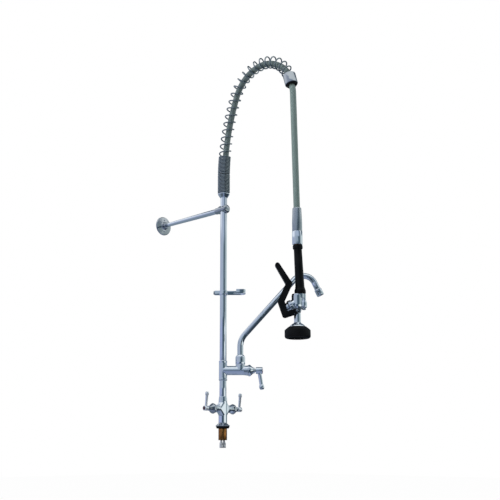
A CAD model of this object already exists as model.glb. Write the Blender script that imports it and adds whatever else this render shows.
# Looks of the pre-rinse faucet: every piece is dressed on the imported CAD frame, in metres.
import math

import bpy
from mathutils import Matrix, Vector


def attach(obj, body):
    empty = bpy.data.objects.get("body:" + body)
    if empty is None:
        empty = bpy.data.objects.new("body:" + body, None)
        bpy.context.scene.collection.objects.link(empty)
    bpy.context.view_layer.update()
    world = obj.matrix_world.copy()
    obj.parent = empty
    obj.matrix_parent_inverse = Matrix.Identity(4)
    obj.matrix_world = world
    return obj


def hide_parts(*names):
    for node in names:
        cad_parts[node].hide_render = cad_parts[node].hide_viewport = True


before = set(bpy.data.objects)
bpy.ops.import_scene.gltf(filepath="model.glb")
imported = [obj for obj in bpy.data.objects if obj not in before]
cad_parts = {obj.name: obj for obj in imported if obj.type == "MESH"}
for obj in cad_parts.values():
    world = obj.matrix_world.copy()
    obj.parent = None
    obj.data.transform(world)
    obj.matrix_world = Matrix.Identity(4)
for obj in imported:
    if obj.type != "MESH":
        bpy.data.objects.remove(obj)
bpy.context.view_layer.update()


# ---- Camera ----
# A long lens stands in front of the faucet, level with its tails, and looks up at it by
# thirteen degrees.
bpy.ops.object.camera_add(
    location=(-1.7330, -1.8025, -0.0600),
    rotation=(math.radians(103.1), 0, math.radians(-45)),
)
camera = bpy.context.object
camera.name = "studio_camera"
camera.data.lens = 61.92
camera.data.sensor_width = 36
camera.data.shift_x = 0.02
bpy.context.scene.camera = camera


# ---- Braided hose ----
# A rubber hose under a braid of fine stainless wire. It rises out of the riser inside the
# spring, and hangs free from the mouth of the spring's collar to the spray valve.
mm = 0.001
hose_r = 9
hose_sides = 40


class Socket:
    """An output of a material's node, on which shader maths is written as plain expressions"""

    def __init__(self, tree, output):
        self.tree = tree
        self.output = output

    def make(self, kind, inputs, output=0, stops=None, **settings):
        """A new node: its settings and a ramp's stops first, then the values or links it takes"""
        node = self.tree.nodes.new(kind)
        for name, value in settings.items():
            setattr(node, name, value)
        if stops:
            ramp = node.color_ramp.elements
            while len(ramp) < len(stops):
                ramp.new(0.5)
            for element, (place, colour) in zip(ramp, stops):
                element.position = place
                element.color = (*colour, 1)
        for name, value in inputs.items():
            if isinstance(value, Socket):
                self.tree.links.new(value.output, node.inputs[name])
            else:
                node.inputs[name].default_value = value
        return Socket(self.tree, node.outputs[output])

    def maths(self, operation, a, b=0.0):
        return self.make("ShaderNodeMath", {0: a, 1: b}, operation=operation)

    def sine(self):
        return self.maths("SINE", self)

    def maximum(self, other):
        return self.maths("MAXIMUM", self, other)

    def mix(self, a, b):
        """Colour a where this is 0, and colour b where it is 1"""
        a, b = ((*c, 1) if isinstance(c, tuple) else c for c in (a, b))
        return self.make("ShaderNodeMix", {0: self, 6: a, 7: b}, output=2, data_type="RGBA")

    def noise(self, scale, detail, rough=0.5):
        return self.make(
            "ShaderNodeTexNoise",
            {"Vector": self, "Scale": scale, "Detail": detail, "Roughness": rough},
        )

    def stretched(self, x, y, z):
        return self.make("ShaderNodeMapping", {"Vector": self, "Scale": (x, y, z)})

    def part(self, axis):
        return self.make("ShaderNodeSeparateXYZ", {0: self}, output=axis)

    def between(self, low, high):
        """0 below low, 1 above high and a smooth rise between"""
        return self.make(
            "ShaderNodeMapRange", {0: self, 1: low, 2: high}, interpolation_type="SMOOTHSTEP"
        )

    def bump(self, distance, strength):
        return self.make(
            "ShaderNodeBump", {"Height": self, "Distance": distance, "Strength": strength}
        )

    def __add__(self, other):
        return self.maths("ADD", self, other)

    def __sub__(self, other):
        return self.maths("SUBTRACT", self, other)

    def __rsub__(self, other):
        return self.maths("SUBTRACT", other, self)

    def __mul__(self, other):
        return self.maths("MULTIPLY", self, other)

    __radd__ = __add__
    __rmul__ = __mul__


def new_finish(name, coordinates="Object", **plain):
    """A material with plain values on its shader; gives it, its coordinates and a way to feed it"""
    material = bpy.data.materials.new(name)
    material.use_nodes = True
    tree = material.node_tree
    shader = tree.nodes["Principled BSDF"]
    for socket, value in plain.items():
        shader.inputs[socket.replace("_", " ")].default_value = value
    place = tree.nodes.new("ShaderNodeTexCoord")

    def feed(socket, value):
        tree.links.new(value.output, shader.inputs[socket])

    return material, Socket(tree, place.outputs[coordinates]), feed


def braid(name, gap, strand):
    """Two families of strands that cross at 45 degrees, each strand of a few fine wires"""
    material, flat, feed = new_finish(name, "UV", Metallic=0.4)
    strands = 12
    wires = 5.0
    hose_girth = 2 * math.pi * hose_r * mm
    around = flat.part(0) * (2 * math.pi * strands)
    lengthwise = flat.part(1) * (2 * math.pi * strands / hose_girth)
    weave = (around + lengthwise).sine().maximum((around - lengthwise).sine())
    fine_wires = (around * wires + lengthwise * wires).sine()
    height = weave + fine_wires * 0.12
    grime = flat.stretched(1.0, 30.0, 1.0).noise(3.0, 3.0)
    feed("Base Color", weave.between(-0.3, 0.7).mix(gap, strand))
    feed("Roughness", 0.24 + grime * 0.14)
    feed("Normal", height.bump(0.0003, 0.28))
    return material


clean_braid = braid("stainless_braid", (0.055, 0.08, 0.076), (0.27, 0.355, 0.33))
oily_braid = braid("oily_braid", (0.028, 0.042, 0.042), (0.20, 0.255, 0.25))


def step_on(pose, run, turn):
    """The pose after a run of the route: distance out, height and heading from upright"""
    out, up, heading = pose
    h, t = math.radians(heading), math.radians(turn)
    if turn == 0:
        return out + run * math.sin(h), up + run * math.cos(h), heading
    r = run / t
    out += r * (math.cos(h) - math.cos(h + t))
    up += r * (math.sin(h + t) - math.sin(h))
    return out, up, heading + turn


def along(route, distance, pose):
    """The pose so far along a route of runs and turns that starts at a pose"""
    for i, (run, turn) in enumerate(route):
        if distance <= run or i == len(route) - 1:
            return step_on(pose, distance, turn * distance / run)
        pose = step_on(pose, run, turn)
        distance -= run


def across(pose, x, n):
    """A point beside the route: x along the row frame's X, n upwards from a level route"""
    out, up, heading = pose
    h = math.radians(heading)
    return Vector((x, -out + n * math.cos(h), up + n * math.sin(h))) * mm


# The spring's arch, from its foot on the riser to the mouth of its collar
foot_z = 696
arch_rise = 49
gentle_r = 631
gentle_turn = 23.4
crown_r = 118.7
crown_turn = 140.8
arch_tail = 20.7
foot_pose = (0, foot_z, 0)
arch = [
    (arch_rise, 0),
    (math.radians(gentle_turn) * gentle_r, gentle_turn),
    (math.radians(crown_turn) * crown_r, crown_turn),
    (arch_tail, 0),
]
arch_length = sum(run for run, turn in arch)
mouth = along(arch, arch_length, foot_pose)

# The free hose, from the mouth down into its ferrule
hose_lean = 1.24
hose_end_z = 581
hang_r = 100
hang_turn = 180 - hose_lean - gentle_turn - crown_turn
hang_arc = math.radians(hang_turn) * hang_r
hang_start = step_on(mouth, hang_arc, hang_turn)
hang_straight = (hang_start[1] - hose_end_z) / -math.cos(math.radians(hang_start[2]))
hang = [(hang_arc, hang_turn), (hang_straight, 0)]
hang_length = hang_arc + hang_straight


def tube_skin(title, rings):
    """A closed tube of one skin through rings of points"""
    sides = len(rings[0])
    faces = []
    for i in range(len(rings) - 1):
        for k in range(sides):
            a, b = i * sides + k, i * sides + (k + 1) % sides
            faces.append((a, b, b + sides, a + sides))
    last = (len(rings) - 1) * sides
    faces += [tuple(range(sides - 1, -1, -1)), tuple(range(last, last + sides))]
    mesh = bpy.data.meshes.new(title)
    mesh.from_pydata([point for ring in rings for point in ring], [], faces)
    piece = bpy.data.objects.new(title, mesh)
    bpy.context.scene.collection.objects.link(piece)
    return piece


def only(piece):
    """Selects this piece alone, because an operator acts on all that is selected"""
    bpy.ops.object.select_all(action="DESELECT")
    piece.select_set(True)
    bpy.context.view_layer.objects.active = piece


def smooth(piece, degrees):
    only(piece)
    bpy.ops.object.shade_smooth_by_angle(angle=math.radians(degrees))


def settle(piece, body, slot, finish, *nodes):
    """Gives a piece its material, body and record slot, and lets it stand for its CAD nodes"""
    piece.data.materials.clear()
    piece.data.materials.append(finish)
    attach(piece, body)
    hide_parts(*nodes)
    return piece


def braided_hose(title, poses, spacing):
    """A hose through the poses, with its own map: once round in u, and metres along in v"""
    angles = [2 * math.pi * k / hose_sides for k in range(hose_sides)]
    hose = tube_skin(title, [
        [across(pose, hose_r * math.cos(a), -hose_r * math.sin(a)) for a in angles]
        for pose in poses
    ])
    places = []
    for i in range(len(poses) - 1):
        v0, v1 = i * spacing * mm, (i + 1) * spacing * mm
        for k in range(hose_sides):
            u0, u1 = k / hose_sides, (k + 1) / hose_sides
            places += [(u0, v0), (u1, v0), (u1, v1), (u0, v1)]
    end_caps = 2 * hose_sides
    places += [(0.0, 0.0)] * end_caps
    layer = hose.data.uv_layers.new(name="braid_map")
    for corner, place in zip(layer.data, places):
        corner.uv = place
    smooth(hose, degrees=60)
    return hose


def ease(t):
    """0 up to 0, 1 from 1 on and a smooth rise between"""
    t = min(1, max(0, t))
    return t * t * (3 - 2 * t)


collar_length = 38
hose_sag = 4.2
sag_start = 24
sag_in = 90
sag_end = arch_length - collar_length - 6
sag_out = 70


def sagging(distance):
    """The hose rests on the inner side of the spring's arch, between the foot and the collar"""
    out, up, heading = along(arch, distance, foot_pose)
    sag = hose_sag * ease((distance - sag_start) / sag_in) * ease((sag_end - distance) / sag_out)
    h = math.radians(heading)
    return out + sag * math.cos(h), up - sag * math.sin(h), heading


# The two hoses stop 2.4 mm apart, and the free one starts 4 mm inside the mouth
riser_hose_length = arch_length - 6.4
riser_steps = 150
riser_hose = braided_hose(
    "hose_in_spring_braided",
    [sagging(riser_hose_length * i / riser_steps) for i in range(riser_steps + 1)],
    riser_hose_length / riser_steps,
)
settle(riser_hose, "stand", "braided_hose", oily_braid, "hose_in_spring")

hang_steps = 80
free_poses = [step_on(mouth, -4, 0)]
free_poses += [along(hang, hang_length * i / hang_steps, mouth) for i in range(hang_steps + 1)]
free_hose = braided_hose("hanging_hose_braided", free_poses, hang_length / hang_steps)
settle(free_hose, "hose", "braided_hose", clean_braid, "hose_hanging")


# ---- Hose end fittings ----
# A crimped stainless ferrule and a chromed hexagon nut join the hose to the spray valve's
# swivel. Both hang with the hose.
def turned_steel():
    """Stainless steel with the fine rings that a lathe tool leaves"""
    material, spot, feed = new_finish("turned_steel", Metallic=1.0)
    rings = spot.stretched(1.0, 1.0, 60.0).noise(40.0, 3.0)
    feed("Base Color", rings.mix((0.42, 0.45, 0.47), (0.56, 0.59, 0.61)))
    feed("Roughness", 0.20 + rings * 0.14)
    feed("Normal", rings.bump(0.00006, 0.4))
    return material


def chrome_finish(name, film, waviness=0.0, shade=1.0, metallic=1.0):
    """Bright plate over nickel, with smears of a dull film, dried specks and a casting's waves"""
    material, spot, feed = new_finish(name, Metallic=metallic)
    smear = spot.noise(24.0, 3.0).between(0.35, 0.75)
    specks = spot.noise(420.0, 1.0).between(0.66, 0.74)
    bright = tuple(c * shade for c in (0.86, 0.89, 0.93))
    filmed = tuple(c * shade for c in (0.80, 0.83, 0.88))
    feed("Base Color", smear.mix(bright, filmed))
    feed("Roughness", 0.045 + smear * film + specks * 0.12)
    if waviness:
        waves = spot.noise(70.0, 1.0) + spot.noise(900.0, 1.0) * 0.03
        feed("Normal", waves.bump(waviness, 0.5))
    return material


steel_finish = turned_steel()
tube_chrome = chrome_finish("tube_chrome", film=0.05)


def welded_copy(node, title):
    """A copy of a CAD node's skin as one welded mesh with its flat faces whole"""
    piece = bpy.data.objects.new(title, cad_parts[node].data.copy())
    bpy.context.scene.collection.objects.link(piece)
    only(piece)
    bpy.ops.mesh.customdata_custom_splitnormals_clear()
    bpy.ops.object.mode_set(mode="EDIT")
    bpy.ops.mesh.select_all(action="SELECT")
    bpy.ops.mesh.remove_doubles(threshold=0.000002)
    bpy.ops.mesh.dissolve_limited(angle_limit=math.radians(0.6))
    bpy.ops.object.mode_set(mode="OBJECT")
    return piece


def apply_all(piece):
    only(piece)
    for modifier in list(piece.modifiers):
        bpy.ops.object.modifier_apply(modifier=modifier.name)


def eased(node, edge, body, slot, finish):
    """A turned or milled piece, with its corners rounded by so many millimetres"""
    piece = welded_copy(node, node + "_eased")
    corner = 32
    bevel = piece.modifiers.new("eased_edges", "BEVEL")
    bevel.width = edge * mm
    bevel.segments = 3
    bevel.limit_method = "ANGLE"
    bevel.angle_limit = math.radians(corner)
    bevel.use_clamp_overlap = True
    apply_all(piece)
    smooth(piece, corner)
    return settle(piece, body, slot, finish, node)


ferrule = eased("hose_ferrule", 0.5, "hose", "steel", steel_finish)
swivel_nut = eased("hose_nut", 0.6, "hose", "chrome", tube_chrome)
across(free_poses[0], 0, 0)
(hang_length + 4) * mm
[across(p, 0, 0) for p in free_poses]


# ---- Overhead spring ----
# Bright hard-drawn stainless wire, wound close at the foot and open over the arch. It
# carries the hose and pulls the spray valve back up.
wire_r = 2.0
wire_sides = 10
coil_r = 16.7
rings_a_curl = 28
close_curls = 26
open_curls = 20
spring_start = 1.8
spring_end = arch_length - collar_length - 2.6
close_pitch = 4.35
close_step = 2.2  # extra space in the middle of the close curls
close_run = close_curls * close_pitch + close_step
open_run = spring_end - spring_start - close_run


def curl_run(t):
    """How far along the arch the wire is after t curls"""
    if t <= close_curls:
        return spring_start + t * close_pitch + close_step * min(1, max(0, t - close_curls / 2))
    return spring_start + close_run + (t - close_curls) / open_curls * open_run


def curl_point(t, r):
    a = 2 * math.pi * t
    return across(along(arch, curl_run(t), foot_pose), r * math.cos(a), r * math.sin(a))


def wire_ring(t):
    """The points round the wire after t curls, square to the way it runs there"""
    nudge = 0.002
    centre = curl_point(t, coil_r)
    ahead = (curl_point(t + nudge, coil_r) - curl_point(max(0, t - nudge), coil_r)).normalized()
    outward = (curl_point(t, coil_r + 5) - centre).normalized()
    outward = (outward - ahead * outward.dot(ahead)).normalized()
    side = ahead.cross(outward)
    angles = [2 * math.pi * k / wire_sides for k in range(wire_sides)]
    return [centre + (outward * math.cos(b) + side * math.sin(b)) * wire_r * mm for b in angles]


def drawn_wire():
    """Wire with the faint mottling that the drawing die and the coiling leave"""
    material, spot, feed = new_finish("drawn_wire", Metallic=1.0)
    drawn = spot.noise(160.0, 3.0)
    feed("Base Color", drawn.mix((0.25, 0.285, 0.30), (0.39, 0.42, 0.435)))
    feed("Roughness", 0.10 + drawn * 0.10)
    return material


ring_count = (close_curls + open_curls) * rings_a_curl
wire_rings = [wire_ring(i / rings_a_curl) for i in range(ring_count + 1)]
spring = tube_skin("overhead_spring_wire", wire_rings)
smooth(spring, degrees=60)
spring_finish = drawn_wire()
settle(spring, "stand", "spring_steel", spring_finish, "overhead_spring")


# ---- Spring foot, collar and hose tail ----
# The chromed foot screws on the riser and seats the spring, the collar closes its far end
# round a rubber bush that guides the hose, and the hose's first end sits on a brass tail.
def black_rubber():
    """Soft black rubber with a greyer bloom in clouds"""
    material, spot, feed = new_finish("black_rubber", Specular_IOR_Level=0.14)
    bloom = spot.noise(60.0, 4.0, 0.6)
    feed("Base Color", bloom.mix((0.0022, 0.0026, 0.0030), (0.006, 0.0066, 0.0072)))
    feed("Roughness", 0.42 + bloom * 0.25)
    feed("Normal", spot.noise(1800.0, 2.0).bump(0.00005, 0.5))
    return material


def turned_brass():
    """Bare brass with tool marks round it and brown tarnish in patches"""
    material, spot, feed = new_finish("turned_brass", Metallic=1.0)
    cuts = spot.stretched(1.0, 1.0, 40.0).noise(60.0, 3.0)
    tarnish = spot.noise(160.0, 4.0, 0.6).between(0.35, 0.7)
    feed("Base Color", tarnish.mix((0.50, 0.21, 0.058), (0.35, 0.135, 0.036)))
    feed("Roughness", 0.16 + cuts * 0.12 + tarnish * 0.08)
    feed("Normal", cuts.bump(0.0001, 0.5))
    return material


rubber_finish = black_rubber()
brass_finish = turned_brass()
# The heavy turned pieces have gone greyer and duller than the tubes
smoked_chrome = chrome_finish("smoked_chrome", film=0.10, waviness=0.0012, shade=0.58)

eased("spring_foot", 0.7, "stand", "chrome", tube_chrome)
eased("spring_collar", 0.7, "stand", "chrome", smoked_chrome)
eased("collar_bush", 0.6, "bush", "black_rubber", rubber_finish)
eased("hose_tail", 0.3, "stand", "brass", brass_finish)


# ---- Riser, wall arm and hook ----
# Drawn brass tubes, chromed. A two-piece clamp grips the riser, its arm runs to a round
# flange on the wall, and the spray valve hangs on a strap hook when it is put away.
for node in ("lower_riser", "upper_riser"):
    eased(node, 0.3, "stand", "chrome", tube_chrome)
eased("wall_arm", 0.4, "stand", "chrome", tube_chrome)
eased("wall_flange", 0.6, "stand", "chrome", smoked_chrome)
eased("flange_set_screw", 0.15, "stand", "steel", steel_finish)
for node in ("riser_clamp", "riser_clamp_cap"):
    eased(node, 0.7, "stand", "chrome", smoked_chrome)
eased("spray_hook", 0.5, "hook", "chrome", tube_chrome)
eased("hook_screw", 0.4, "hook", "steel", steel_finish)


# ---- Base body, flange and shank ----
# The body is one casting with two valve arms. It stands on a turned flange over a rubber
# gasket, and its brass shank goes through the deck with the two inlet tails.
def cast(node, grain, passes, body, slot, finish):
    """A cast or moulded piece, whose parts flow into each other with small fillets"""
    piece = welded_copy(node, node + "_cast")
    skin = piece.modifiers.new("skin", "REMESH")
    skin.mode = "VOXEL"
    skin.voxel_size = grain * mm
    fillets = piece.modifiers.new("fillets", "SMOOTH")
    fillets.factor = 0.5
    fillets.iterations = passes
    apply_all(piece)
    smooth(piece, degrees=180)
    return settle(piece, body, slot, finish, node)


# Castings keep a faint waviness under the plate
cast_chrome = chrome_finish("cast_chrome", film=0.06, waviness=0.0003)
tail_finish = chrome_finish("dull_tail", film=0.35, shade=0.66, metallic=0.6)

cast("base_body", 0.6, 14, "stand", "chrome", cast_chrome)
eased("base_flange", 0.8, "stand", "chrome", smoked_chrome)
eased("deck_gasket", 0.8, "stand", "black_rubber", rubber_finish)
eased("brass_shank", 0.6, "stand", "brass", brass_finish)
for node in ("hot_inlet_tail", "cold_inlet_tail"):
    eased(node, 0.3, "stand", "steel", tail_finish)


# ---- Base valves ----
# Each arm takes a hexagon bonnet over a ceramic cartridge. A chromed lever, dulled by wet
# hands, turns the stem, and a glossy cap shows red for hot and blue for cold.
def index_finish(name, colour, shade):
    """A glossy moulded cap whose colour is clouded with a deeper shade of it"""
    material, spot, feed = new_finish(name, Roughness=0.22, Coat_Weight=0.6, Coat_Roughness=0.06)
    cloud = spot.noise(500.0, 2.0)
    feed("Base Color", cloud.mix(colour, shade))
    return material


def ground_ceramic():
    """Cream ceramic, ground matt and faintly mottled"""
    material, spot, feed = new_finish("ground_ceramic", Roughness=0.5)
    feed("Base Color", spot.noise(300.0, 3.0).mix((0.86, 0.83, 0.76), (0.78, 0.75, 0.68)))
    return material


red_finish = index_finish("red_index", (0.55, 0.03, 0.06), (0.40, 0.02, 0.04))
dark_red_finish = index_finish("dark_red_index", (0.045, 0.010, 0.013), (0.030, 0.009, 0.011))
blue_finish = index_finish("blue_index", (0.05, 0.12, 0.62), (0.03, 0.08, 0.48))
ceramic_finish = ground_ceramic()
handled_chrome = chrome_finish("handled_chrome", film=0.26, waviness=0.0003, shade=1.04, metallic=0.8)

for side, index_slot, tint in (
    ("hot", "red_index", dark_red_finish),
    ("cold", "blue_index", blue_finish),
):
    eased(side + "_bonnet", 0.6, "stand", "chrome", smoked_chrome)
    eased(side + "_cartridge", 0.3, "stand", "ceramic", ceramic_finish)
    eased(side + "_stem", 0.3, side + "_valve", "steel", steel_finish)
    eased(side + "_lever", 0.7, side + "_valve", "chrome", handled_chrome)
    eased(side + "_index", 0.3, side + "_valve", index_slot, tint)


# ---- Add-on valve and spout ----
# The tee slips over the riser, its arm carries the third valve, and the bent spout tube
# turns in the arm on two O-rings under a nut.
def moulded_plastic():
    """Black plastic with a fine pebble, greyer and duller where hands have been"""
    material, spot, feed = new_finish("moulded_plastic", Specular_IOR_Level=0.16)
    pebble = spot.noise(1500.0, 2.0)
    handled = spot.noise(30.0, 3.0).between(0.4, 0.7)
    feed("Base Color", handled.mix((0.0020, 0.0024, 0.0030), (0.0045, 0.0052, 0.0060)))
    feed("Roughness", 0.30 + pebble * 0.10 + handled * 0.10)
    feed("Normal", pebble.bump(0.00006, 0.5))
    return material


plastic_finish = moulded_plastic()

cast("addon_body", 0.6, 14, "stand", "chrome", cast_chrome)
eased("addon_bonnet", 0.7, "stand", "chrome", cast_chrome)
eased("addon_cartridge", 0.3, "stand", "ceramic", ceramic_finish)
eased("addon_stem", 0.3, "addon_valve", "steel", steel_finish)
eased("addon_lever", 0.9, "addon_valve", "chrome", cast_chrome)
eased("addon_index", 0.3, "addon_valve", "red_index", red_finish)
eased("spout_nut", 0.6, "stand", "chrome", cast_chrome)
eased("spout_tube", 0.3, "spout", "chrome", tube_chrome)
eased("spout_orings", 0.1, "spout", "black_rubber", rubber_finish)
eased("aerator", 0.5, "spout", "chrome", tube_chrome)
eased("aerator_insert", 0.2, "spout", "black_plastic", plastic_finish)


# ---- Spray valve ----
# A brass tube runs down through the black grip into the chromed body. The body's bonnet holds
# the plunger, which the black lever presses in, and a rubber bumper rings the spray head.
eased("grip_tube", 0.3, "spray", "brass", brass_finish)
eased("grip", 0.9, "spray", "black_plastic", plastic_finish)
cast("spray_body", 0.5, 10, "spray", "chrome", cast_chrome)
eased("spray_bonnet", 0.5, "spray", "chrome", cast_chrome)
eased("spray_plunger", 0.3, "plunger", "steel", steel_finish)
eased("plunger_washer", 0.2, "plunger", "black_rubber", rubber_finish)
eased("plunger_spring", 0.05, "spray", "spring_steel", spring_finish)
eased("swivel_oring", 0.1, "spray", "black_rubber", rubber_finish)
cast("spray_lever", 0.6, 10, "lever", "black_plastic", plastic_finish)
for node in ("left_lever_pin", "right_lever_pin", "rear_screw"):
    eased(node, 0.3, "spray", "steel", steel_finish)
eased("spray_head", 0.5, "spray", "chrome", cast_chrome)
eased("spray_plate", 0.3, "spray", "steel", steel_finish)
eased("rubber_bumper", 1.2, "spray", "black_rubber", rubber_finish)


# ---- Studio ----
# A pale floor well below the faucet, soft lamps, and a shell of grey-blue cloth that only
# polished faces show. It is dark just right of the camera, and bluer low on the left.
floor_z = -0.35
camera_azimuth = -135
bpy.ops.mesh.primitive_plane_add(size=14, location=(0, 0, floor_z))
floor = bpy.context.object
floor.name = "studio_floor"
floor.visible_glossy = False


def seen_white(tree):
    """1 where the camera, a mirror or glass looks, and 0 for the light that falls on things"""
    path = tree.nodes.new("ShaderNodeLightPath")
    camera_ray, glossy_ray, glass_ray = (
        Socket(tree, path.outputs[n])
        for n in ("Is Camera Ray", "Is Glossy Ray", "Is Transmission Ray")
    )
    return camera_ray.maximum(glossy_ray.maximum(glass_ray))


def pale_floor():
    """A pale floor that looks almost white by itself, and still keeps a little shadow"""
    glow_share = 0.97
    material, spot, feed = new_finish("pale_floor", Roughness=0.9)
    feed("Base Color", spot.noise(2.0, 2.0).mix((0.90, 0.90, 0.90), (0.93, 0.93, 0.93)))
    tree = material.node_tree
    painted = Socket(tree, tree.nodes["Principled BSDF"].outputs[0])
    glow = spot.make("ShaderNodeEmission", {"Color": (1, 1, 1, 1), "Strength": 1.0})
    lit = seen_white(tree) * glow_share
    mixed = spot.make("ShaderNodeMixShader", {0: lit, 1: painted, 2: glow})
    tree.links.new(mixed.output, tree.nodes["Material Output"].inputs["Surface"])
    return material


floor.data.materials.append(pale_floor())

room_light = 0.55
world = bpy.data.worlds.new("studio_world")
bpy.context.scene.world = world
world.use_nodes = True
tree = world.node_tree
sky = tree.nodes["Background"]
sky.inputs["Color"].default_value = (1, 1, 1, 1)
level = room_light + seen_white(tree) * (1 - room_light)
tree.links.new(level.output, sky.inputs["Strength"])

# The cloth hangs in rows from underfoot to overhead. A row gives its colours all the way
# round, each at so many degrees to the right of the camera.
below = [(-180, (0.22, 0.27, 0.38)), (0, (0.26, 0.32, 0.46))]
underfoot = [
    (-180, (0.18, 0.23, 0.29)), (-150, (0.19, 0.25, 0.30)), (-92, (0.22, 0.28, 0.35)),
    (-72, (0.10, 0.13, 0.16)), (-16, (0.09, 0.12, 0.16)), (-6, (0.22, 0.28, 0.42)),
    (6, (0.22, 0.28, 0.42)), (18, (0.04, 0.06, 0.08)), (76, (0.03, 0.045, 0.06)),
    (150, (0.045, 0.06, 0.09)), (180, (0.18, 0.23, 0.29)),
]
knee_row = [
    (-180, (0.26, 0.31, 0.41)), (-120, (0.34, 0.39, 0.58)), (-60, (0.38, 0.44, 0.68)),
    (-26, (0.30, 0.36, 0.50)), (-14, (0.03, 0.06, 0.10)), (24, (0.03, 0.07, 0.10)),
    (40, (0.70, 0.77, 0.78)), (66, (0.82, 0.89, 0.90)), (93, (0.80, 0.88, 0.91)),
    (103, (0.24, 0.32, 0.34)), (122, (0.06, 0.10, 0.13)), (180, (0.26, 0.31, 0.41)),
]
eye_row = [
    (-180, (0.40, 0.47, 0.52)), (-120, (0.38, 0.44, 0.58)), (-60, (0.40, 0.46, 0.58)),
    (-14, (0.36, 0.44, 0.53)), (0, (0.30, 0.38, 0.46)), (7, (0.07, 0.11, 0.15)),
    (38, (0.06, 0.10, 0.13)), (54, (0.24, 0.31, 0.34)), (85, (0.40, 0.48, 0.50)),
    (125, (0.62, 0.70, 0.71)), (180, (0.50, 0.57, 0.62)),
]
overhead = [
    (-180, (0.08, 0.12, 0.16)), (-156, (0.10, 0.14, 0.19)), (-144, (0.80, 0.86, 0.94)),
    (-86, (0.76, 0.82, 0.92)), (-70, (0.50, 0.56, 0.68)), (-34, (0.42, 0.48, 0.60)),
    (-12, (0.40, 0.48, 0.60)), (12, (0.38, 0.47, 0.60)), (26, (0.14, 0.19, 0.25)),
    (50, (0.18, 0.24, 0.30)), (74, (0.34, 0.40, 0.46)), (84, (0.86, 0.93, 0.95)),
    (108, (0.90, 0.96, 0.98)), (116, (0.10, 0.14, 0.18)),
]
ceiling = [
    (-180, (0.07, 0.10, 0.14)), (-112, (0.10, 0.14, 0.19)), (-84, (0.80, 0.86, 0.94)),
    (0, (0.90, 0.97, 1.0)), (84, (0.84, 0.92, 0.95)), (112, (0.10, 0.14, 0.19)),
    (180, (0.07, 0.10, 0.14)),
]
zenith = [(-180, (0.50, 0.58, 0.64)), (0, (0.56, 0.64, 0.72))]

cloth = bpy.data.materials.new("studio_cloth")
cloth.use_nodes = True
tree = cloth.node_tree
tree.nodes.remove(tree.nodes["Principled BSDF"])
place = Socket(tree, tree.nodes.new("ShaderNodeTexCoord").outputs["Object"])
height = place.part(2)
to_middle = math.radians(-camera_azimuth)  # brings the camera's side to the gradient's middle
facing = place.make("ShaderNodeMapping", {"Vector": place, "Rotation": (0, 0, to_middle)})
angle = facing.make("ShaderNodeTexGradient", {"Vector": facing}, output=1, gradient_type="RADIAL")


def row(colours):
    """One row's colour in each direction"""
    stops = [(0.5 + degrees / 360, colour) for degrees, colour in colours]
    return angle.make("ShaderNodeValToRGB", {0: angle}, stops=stops)


# Each row takes over from the one below it between two heights, as shares of the radius
shell_r = 3.6
cloth_colour = row(below)
for low_edge, high_edge, colours in (
    (-0.76, -0.64, underfoot),
    (-0.10, -0.04, knee_row),
    (0.105, 0.135, eye_row),
    (0.45, 0.51, overhead),
    (0.73, 0.79, ceiling),
    (0.965, 0.985, zenith),
):
    above = height.between(low_edge * shell_r, high_edge * shell_r)
    cloth_colour = above.mix(cloth_colour, row(colours))
glow = place.make("ShaderNodeEmission", {"Color": cloth_colour, "Strength": 1.0})
tree.links.new(glow.output, tree.nodes["Material Output"].inputs["Surface"])

bpy.ops.mesh.primitive_uv_sphere_add(
    segments=64, ring_count=32, radius=shell_r, location=(0, 0, 0)
)
shell = bpy.context.object
shell.name = "studio_shell"
shell.data.materials.append(cloth)
shell.visible_camera = False
shell.visible_diffuse = False
shell.visible_shadow = False
shell.visible_transmission = False


def soft_box(name, azimuth, elevation, distance, wide, tall, power):
    """A soft box aimed at the faucet, so many degrees to the right of the camera"""
    faucet_middle = Vector((0.05, -0.15, 0.45))
    a, e = math.radians(camera_azimuth + azimuth), math.radians(elevation)
    away = Vector((math.cos(a) * math.cos(e), math.sin(a) * math.cos(e), math.sin(e)))
    data = bpy.data.lights.new(name, "AREA")
    data.shape = "RECTANGLE"
    data.size = wide
    data.size_y = tall
    data.energy = power
    lamp = bpy.data.objects.new(name, data)
    bpy.context.scene.collection.objects.link(lamp)
    lamp.location = faucet_middle + away * distance
    lamp.rotation_euler = away.to_track_quat("Z", "Y").to_euler()
    lamp.visible_glossy = False


soft_box("key_box", azimuth=-58, elevation=38, distance=2.6, wide=1.0, tall=1.6, power=40)
soft_box("fill_box", azimuth=62, elevation=26, distance=2.8, wide=0.7, tall=1.4, power=6)
soft_box("top_box", azimuth=150, elevation=62, distance=2.4, wide=1.2, tall=1.2, power=14)

bpy.context.scene.view_settings.view_transform = "Standard"
